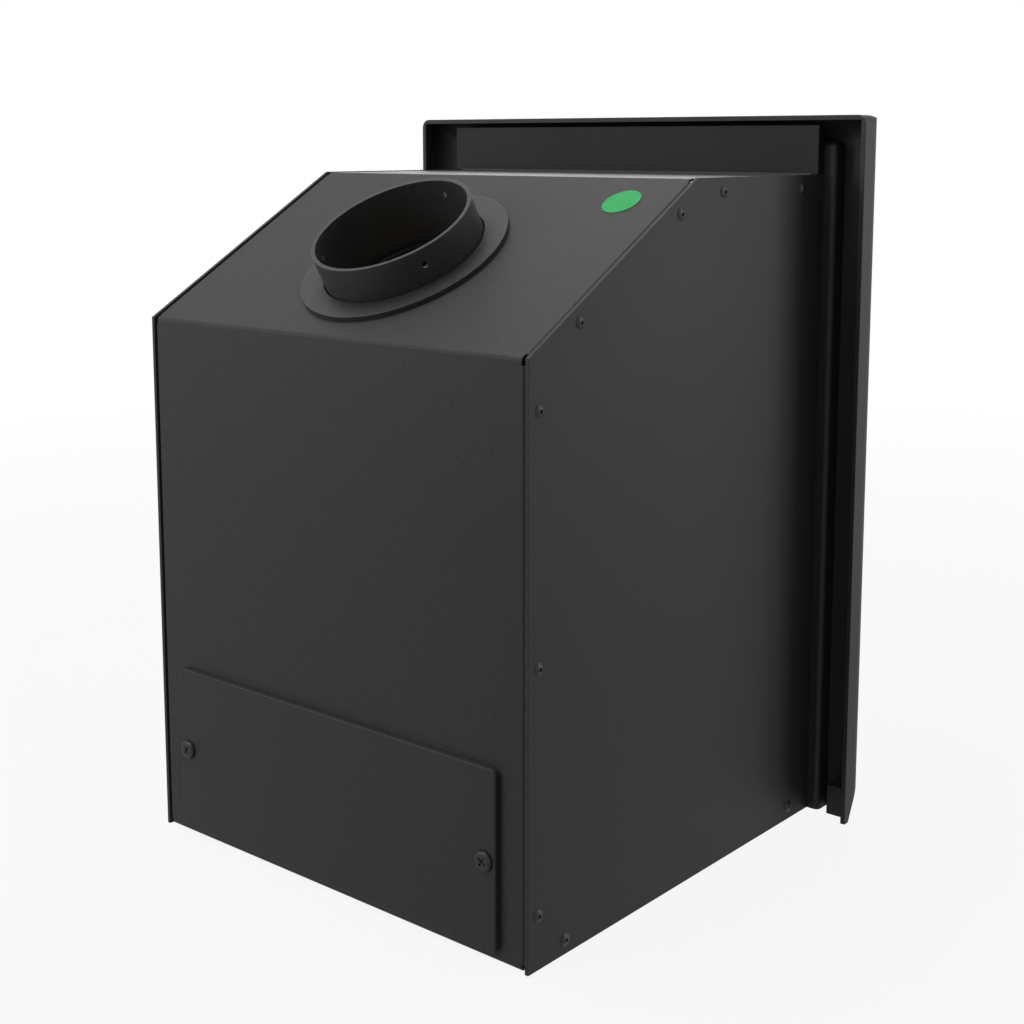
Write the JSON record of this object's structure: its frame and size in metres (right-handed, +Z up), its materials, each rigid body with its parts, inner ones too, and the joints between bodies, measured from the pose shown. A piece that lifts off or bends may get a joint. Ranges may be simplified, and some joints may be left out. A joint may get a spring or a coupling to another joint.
{
  "type": "inset multi-fuel stove",
  "caption": "Inset stove with a sloping-topped steel casing, angled flue collar, cast fascia, glazed hinged fire door, riddling grate and sliding ash drawer.",
  "frame": {"origin": "on the hearth under the stove's centreline, in the plane of the wall that the fascia's rim closes against", "axes": "+X to the right seen from the room, +Y into the fireplace, +Z up"},
  "size_m": [0.489, 0.438, 0.597],
  "materials": {
    "casing_paint": "fine-textured charcoal heat-resistant paint on sheet steel",
    "cast_paint": "black heat-resistant paint on a cast surface",
    "collar_paint": "charcoal paint on a cast ring",
    "screw_black": "black-coated steel screws",
    "plate_paint": "matt black heat paint on firebox plate",
    "fire_brick": "pale insulating fire brick",
    "grate_iron": "bare cast iron",
    "galvanised": "zinc-plated steel",
    "bright_steel": "satin steel",
    "pan_steel": "painted folded sheet",
    "ceramic_glass": "clear ceramic glass",
    "rope_grey": "braided glass rope and flat gasket",
    "label_green": "plain round label"
  },
  "bodies": {
    "stove_body": {"casing_wrap": "casing_paint", "left_side_panel": "casing_paint", "right_side_panel": "casing_paint", "base_tray": "casing_paint", "side_panel_screws": "screw_black", "rear_access_cover": "casing_paint", "access_cover_screws": "screw_black", "flue_collar": "collar_paint", "collar_gasket": "rope_grey", "collar_bolts": "galvanised", "flue_trim_ring": "casing_paint", "inspection_label": "label_green", "firebox_left_side": "plate_paint", "firebox_right_side": "plate_paint", "firebox_floor": "plate_paint", "firebox_top": "plate_paint", "firebox_back": "plate_paint", "grate_shelf": "plate_paint", "rear_fire_brick": "fire_brick", "left_fire_brick": "fire_brick", "right_fire_brick": "fire_brick", "rear_air_duct": "galvanised", "floor_runners": "plate_paint", "brick_retainers": "plate_paint", "throat_plate": "fire_brick", "throat_supports": "plate_paint", "airwash_deflector": "plate_paint", "fixed_grate": "grate_iron", "grate_runners": "plate_paint", "fuel_guard": "grate_iron", "guard_brackets": "grate_iron", "fascia": "cast_paint", "front_brackets": "galvanised", "fascia_bolts": "screw_black", "hinge_brackets": "cast_paint", "hinge_pins": "bright_steel", "latch_keeper": "bright_steel", "slider_guides": "galvanised"},
    "fire_door": {"door_frame": "cast_paint", "door_glass": "ceramic_glass", "glass_gasket": "rope_grey", "glass_clips": "galvanised", "glass_clip_screws": "galvanised", "door_rope_seal": "rope_grey"},
    "door_latch_handle": {"handle_shaft": "bright_steel", "door_handle": "bright_steel", "handle_grip": "screw_black", "latch_cam": "bright_steel", "latch_nut": "galvanised"},
    "ash_drawer": {"ash_pan": "pan_steel", "ash_pan_ends": "pan_steel", "drawer_front": "cast_paint", "drawer_seal": "rope_grey", "drawer_knobs": "bright_steel", "air_wheel_bolt": "bright_steel"},
    "primary_air_wheel": {"air_wheel": "cast_paint"},
    "riddling_gear": {"riddling_grate": "grate_iron", "riddling_rod": "bright_steel", "riddling_knob": "bright_steel"},
    "airwash_control": {"airwash_slider": "galvanised", "slider_knob": "bright_steel"}
  },
  "joints": [
    {"name": "door_hinge", "type": "hinge", "parent": "stove_body", "child": "fire_door", "pos_m": [-0.188, -0.031, 0.3], "axis": [0, 0, -1], "range_deg": [0, 110]},
    {"name": "handle_turn", "type": "hinge", "parent": "fire_door", "child": "door_latch_handle", "pos_m": [0.1495, -0.03, 0.308], "axis": [0, 1, 0], "range_deg": [0, 90]},
    {"name": "ash_drawer_slide", "type": "slide", "parent": "stove_body", "child": "ash_drawer", "axis": [0, -1, 0], "range_m": [0, 0.25]},
    {"name": "air_wheel_turn", "type": "hinge", "parent": "ash_drawer", "child": "primary_air_wheel", "pos_m": [0, -0.03, 0.059], "axis": [0, 1, 0], "range_deg": [0, 45]},
    {"name": "riddling_slide", "type": "slide", "parent": "stove_body", "child": "riddling_gear", "axis": [0, -1, 0], "range_m": [0, 0.018]},
    {"name": "airwash_slide", "type": "slide", "parent": "stove_body", "child": "airwash_control", "axis": [1, 0, 0], "range_m": [0, 0.025]}
  ]
}
